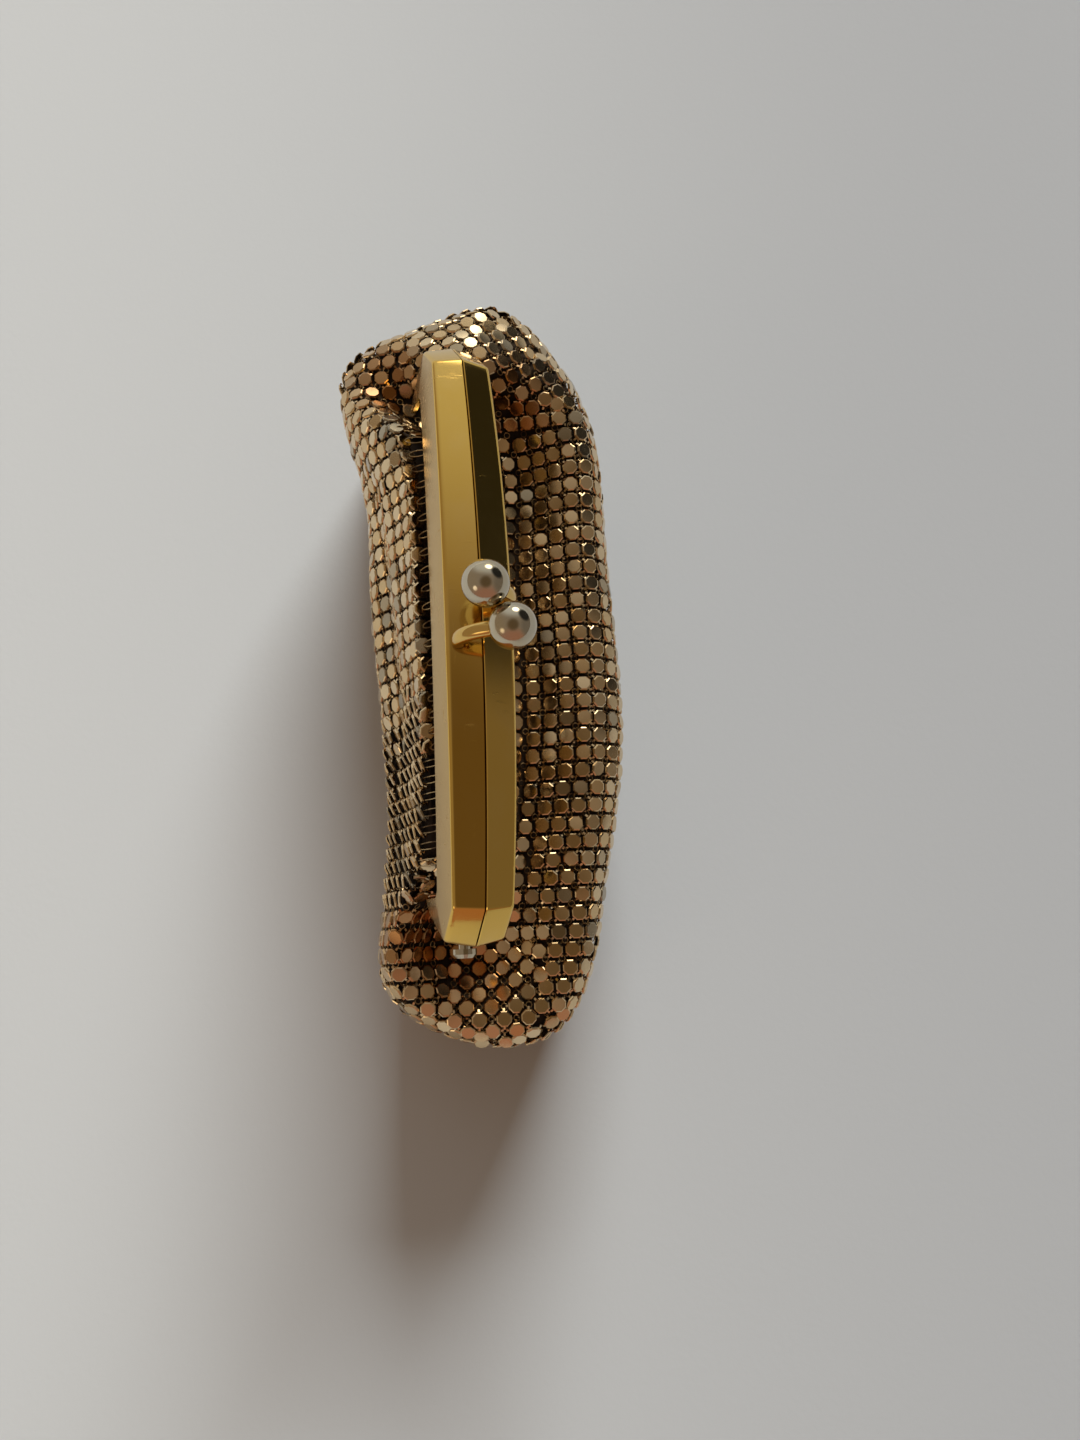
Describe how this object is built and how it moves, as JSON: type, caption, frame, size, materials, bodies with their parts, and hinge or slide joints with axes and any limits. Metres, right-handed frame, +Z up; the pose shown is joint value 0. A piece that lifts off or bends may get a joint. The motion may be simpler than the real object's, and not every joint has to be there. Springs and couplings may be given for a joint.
{
  "type": "metal mesh purse",
  "caption": "Small slumped pouch of gold disc mesh in a hinged arched metal frame with a two-ball kiss-lock, standing on its flat foot.",
  "frame": {"origin": "on the floor, under the middle of the purse's box", "axes": "+X along the frame, +Z up, the front of the purse towards -Y"},
  "size_m": [0.1156, 0.0416, 0.0589],
  "materials": {
    "frame_metal": "polished",
    "knob_metal": "polished",
    "mesh_metal": "satin"
  },
  "bodies": {
    "root": {"mesh_pouch": "mesh_metal", "frame_front": "frame_metal", "frame_back": "frame_metal", "clasp_knob_front": "knob_metal", "clasp_knob_back": "knob_metal", "hinge_pin_far": "frame_metal", "hinge_pin_near": "frame_metal"}
  },
  "joints": []
}
